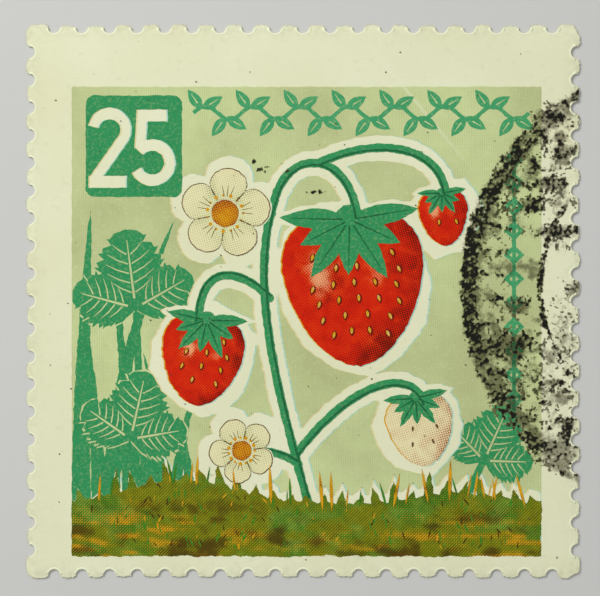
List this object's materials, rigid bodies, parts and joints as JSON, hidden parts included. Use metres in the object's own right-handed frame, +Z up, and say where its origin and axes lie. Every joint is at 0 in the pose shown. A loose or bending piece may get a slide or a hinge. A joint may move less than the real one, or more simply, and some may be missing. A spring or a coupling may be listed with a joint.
{
  "type": "postage stamp",
  "caption": "Used square postage stamp: a thin paper sheet with perforated edges, a printed picture of wild strawberries and a cancellation mark.",
  "frame": {"origin": "middle of the sheet, on the face it lies on", "axes": "+Z up out of the picture, +Y towards the picture's top, +X towards its right side"},
  "size_m": [0.0334, 0.0334, 0.0002],
  "materials": {
    "paper": "matt",
    "tint_ink": "matt",
    "ground_ink": "matt",
    "green_ink": "matt",
    "red_ink": "matt",
    "cream_ink": "matt",
    "ochre_ink": "matt",
    "mark_ink": "matt"
  },
  "bodies": {
    "root": {"stamp_paper": "paper", "tint_panel": "tint_ink", "tint_patch_1": "tint_ink", "tint_patch_2": "tint_ink", "tint_patch_3": "tint_ink", "tint_patch_4": "tint_ink", "tint_patch_5": "tint_ink", "tint_patch_6": "tint_ink", "tint_patch_7": "tint_ink", "ground_strip": "ground_ink", "leaves_left": "green_ink", "leaf_right": "green_ink", "fruit_stems": "green_ink", "value_tablet": "green_ink", "heading_ornament": "green_ink", "side_ornament": "green_ink", "fruit_large": "red_ink", "fruit_middle": "red_ink", "fruit_small": "red_ink", "fruit_unripe": "cream_ink", "blossom_upper": "cream_ink", "blossom_lower": "cream_ink", "blossom_heart_upper": "ochre_ink", "blossom_heart_lower": "ochre_ink", "mark_outer_ring": "mark_ink", "mark_inner_ring": "mark_ink"}
  },
  "joints": []
}
